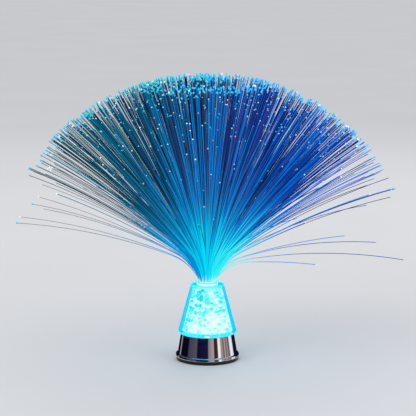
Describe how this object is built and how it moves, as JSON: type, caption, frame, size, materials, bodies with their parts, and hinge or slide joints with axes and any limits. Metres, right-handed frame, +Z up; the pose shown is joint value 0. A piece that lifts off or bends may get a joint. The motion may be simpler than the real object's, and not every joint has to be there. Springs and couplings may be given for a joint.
{
  "type": "fiber optic night light",
  "caption": "Battery night light: a chromed base carries a clear cone of lit crystal chips, with a fan of optical fibres rising from a plug in its top.",
  "frame": {"origin": "centre of the footprint, on the table that the lamp stands on", "axes": "+Z up along the cone's axis; the fibre fan is widest along X; -Y is the front; the battery door is hinged at -X"},
  "size_m": [0.4197, 0.3953, 0.3214],
  "materials": {
    "ring_rubber": "matt, fine grained",
    "black_plastic": "satin moulded",
    "plated_shell": "bright vacuum-plated ABS",
    "clear_acrylic": "polished clear, edge lit in cyan",
    "crystal_acrylic": "broken clear facets, lit from below",
    "potting_resin": "ground flat",
    "optical_fibre": "glossy, glowing at the tips",
    "screw_steel": "zinc plated",
    "board_laminate": "solder mask",
    "led_lens": "water-clear dome, lit",
    "white_plastic": "bright white moulded",
    "chip_epoxy": "matt",
    "resistor_ceramic": "glazed film",
    "capacitor_can": "drawn can",
    "contact_metal": "nickel plated",
    "cell_jacket": "shrink film, gloss",
    "switch_plastic": "moulded",
    "red_insulation": "PVC",
    "black_insulation": "PVC"
  },
  "bodies": {
    "base": {"non_slip_ring": "ring_rubber", "bottom_cover": "black_plastic", "cover_screws": "screw_steel", "base_shell": "plated_shell", "cone_base_plate": "clear_acrylic", "plate_screws": "screw_steel", "crystal_cone": "clear_acrylic", "light_tube": "clear_acrylic", "socket_collar": "clear_acrylic", "crystal_chips_lower": "crystal_acrylic", "crystal_chips_middle": "crystal_acrylic", "crystal_chips_upper": "crystal_acrylic", "led_board": "board_laminate", "board_screws": "screw_steel", "bundle_led": "led_lens", "crystal_leds": "led_lens", "led_reflector": "white_plastic", "controller_chip": "chip_epoxy", "resistors": "resistor_ceramic", "capacitor": "capacitor_can", "contact_plates": "contact_metal", "contact_springs": "contact_metal", "battery_cell_1": "cell_jacket", "battery_cell_2": "cell_jacket", "battery_cell_3": "cell_jacket", "switch_body": "switch_plastic", "red_lead": "red_insulation", "black_lead": "black_insulation", "switch_lead": "red_insulation"},
    "fibre_head": {"fibre_spray": "optical_fibre", "potted_bundle": "potting_resin", "bundle_ferrule": "clear_acrylic"},
    "battery_cover": {"battery_door": "black_plastic", "door_screw": "screw_steel"},
    "button": {"power_button": "black_plastic"}
  },
  "joints": [
    {"name": "fibre_head_slide", "type": "slide", "parent": "base", "child": "fibre_head", "axis": [0, 0, 1], "range_m": [0, 0.03]},
    {"name": "battery_door_hinge", "type": "hinge", "parent": "base", "child": "battery_cover", "pos_m": [-0.0247, 0, 0.00225], "axis": [0, 1, 0], "range_deg": [0, 100]},
    {"name": "power_button_press", "type": "slide", "parent": "base", "child": "button", "axis": [0, 0, 1], "range_m": [0, 0.001], "stiffness_N_per_m": 300}
  ]
}
